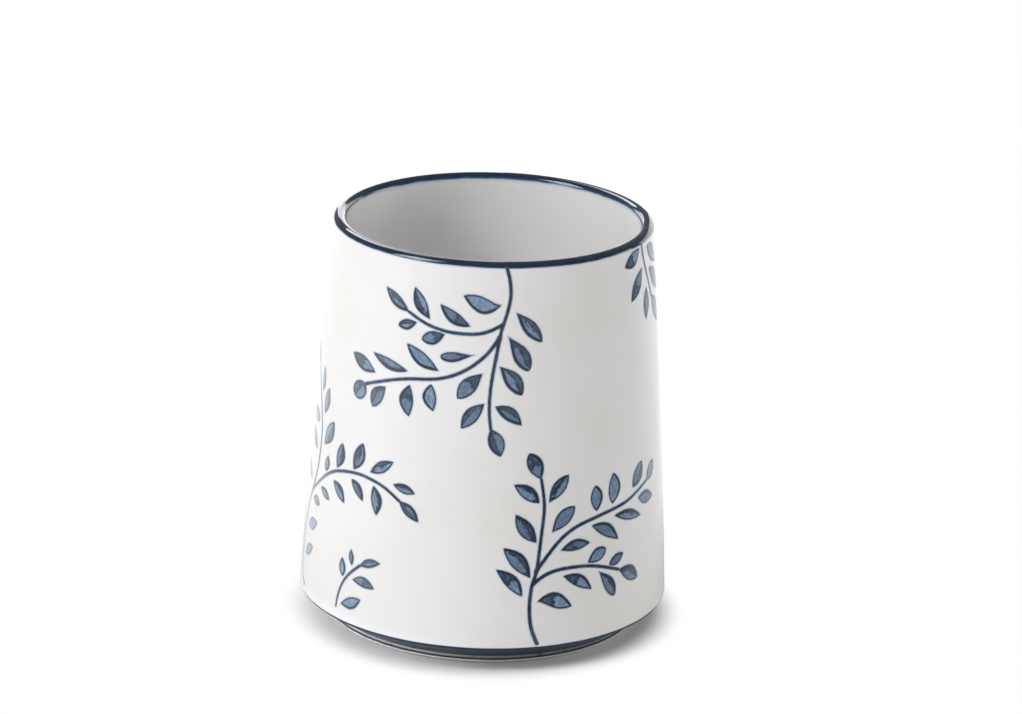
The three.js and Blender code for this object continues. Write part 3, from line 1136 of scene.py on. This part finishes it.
def world():
    """Plain studio surroundings: white to the camera, soft as light and dim in reflections."""
    nodes = Nodes(bpy.data.worlds.new("studio"))
    path = nodes.add("ShaderNodeLightPath")
    camera_ray = path.outputs["Is Camera Ray"]
    unseen = nodes.blend(path.outputs["Is Glossy Ray"], WORLD_LIGHT, mirrored_world(nodes))
    background = nodes.add("ShaderNodeBackground")
    nodes.feed(background.inputs["Color"], nodes.mix(camera_ray, WORLD_TINT, (1, 1, 1, 1)))
    nodes.feed(background.inputs["Strength"], nodes.blend(camera_ray, unseen, 1.0))
    output = nodes.add("ShaderNodeOutputWorld")
    nodes.feed(output.inputs["Surface"], background.outputs[0])
    bpy.context.scene.world = nodes.owner


def area_light(name, azimuth, elevation, distance, size, power, target=(0, 0, 0.05)):
    """A soft panel that faces a target. Azimuth 0 is in front, positive to the right."""
    data = bpy.data.lights.new(name, "AREA")
    data.shape = "RECTANGLE"
    data.size, data.size_y = size
    data.energy = power
    lamp = bpy.data.objects.new(name, data)
    bpy.context.scene.collection.objects.link(lamp)
    turn, rise = math.radians(azimuth), math.radians(elevation)
    way = Vector((math.sin(turn) * math.cos(rise), -math.cos(turn) * math.cos(rise), math.sin(rise)))
    lamp.location = Vector(target) + way * distance
    lamp.rotation_mode = "QUATERNION"
    lamp.rotation_quaternion = way.to_track_quat("Z", "Y")
    lamp.visible_camera = False
    return lamp


def lamps():
    """The panels that light the cup. Of these the glaze mirrors only right_fill."""
    for lamp in (
        area_light("key", -58, 38, 1.8, (0.75, 0.9), 16.7),
        area_light("front_fill", -14, 10, 0.6, (0.5, 0.2), 0.34, (0, 0, 0.015)),
        area_light("back_softbox", -159, 19, 0.9, (0.8, 0.38), 3.5),
        area_light("right_card", 134, 4.5, 0.9, (0.8, 0.14), 1.25),
    ):
        lamp.visible_glossy = False
    area_light("right_fill", 98, 13, 0.9, (0.5, 0.25), 1.3)
    low = area_light("low_left", -84, 0.3, 0.2, (0.12, 0.005), 0.0016, (0, 0, 0.002))
    low.data.spread = math.radians(4)
    low.visible_glossy = False


LIP_LEFT = (-0.0368, 0, 0.0984)
LIP_TOP = (0, 0, 0.0984)


def mirrored_card(name, azimuth, elevation, distance, half_angles, radiance, target):
    """A bright card that only shows in the glaze. Seen from the target, its half angles are its size."""
    size = [2 * distance * math.tan(math.radians(half)) for half in half_angles]
    power = radiance * math.pi * size[0] * size[1]
    card = area_light(name, azimuth, elevation, distance, size, power, target)
    card.visible_diffuse = False


def cards():
    """Cards placed for the highlights on the lip."""
    mirrored_card("card_behind", 178, 9, 0.13, (15, 11), 2.8, LIP_LEFT)
    mirrored_card("card_behind_right", 147, 7, 0.9, (20, 11), 1.7, LIP_TOP)
    mirrored_card("card_high_left", -158, 36, 0.9, (10.5, 10), 6.0, LIP_TOP)
    mirrored_card("card_front_left", -67, 43, 1.8, (11, 17), 9.5, LIP_TOP)


CAMERA_PLACE = Vector((0, -1.0164, 0.40886))
CAMERA_AIM = Vector((0.0052, 0, 0.06445))
CAMERA_ROLL = 1.94
CAMERA_LENS = 156.3


def camera():
    """The photograph's viewpoint, fitted to the cup's outline in it."""
    data = bpy.data.cameras.new("camera")
    data.lens = CAMERA_LENS
    data.sensor_width = 36
    data.clip_start = 0.1
    data.clip_end = 20
    view = bpy.data.objects.new("camera", data)
    bpy.context.scene.collection.objects.link(view)
    view.location = CAMERA_PLACE
    view.rotation_mode = "QUATERNION"
    level = (CAMERA_AIM - CAMERA_PLACE).to_track_quat("-Z", "Y")
    view.rotation_quaternion = level @ Matrix.Rotation(math.radians(CAMERA_ROLL), 4, "Z").to_quaternion()
    bpy.context.scene.camera = view


camera()
bpy.context.scene.view_settings.view_transform = "Standard"
porcelain_body()
glaze_bands()
pads()
sprigs()
floor()
world()
lamps()
cards()
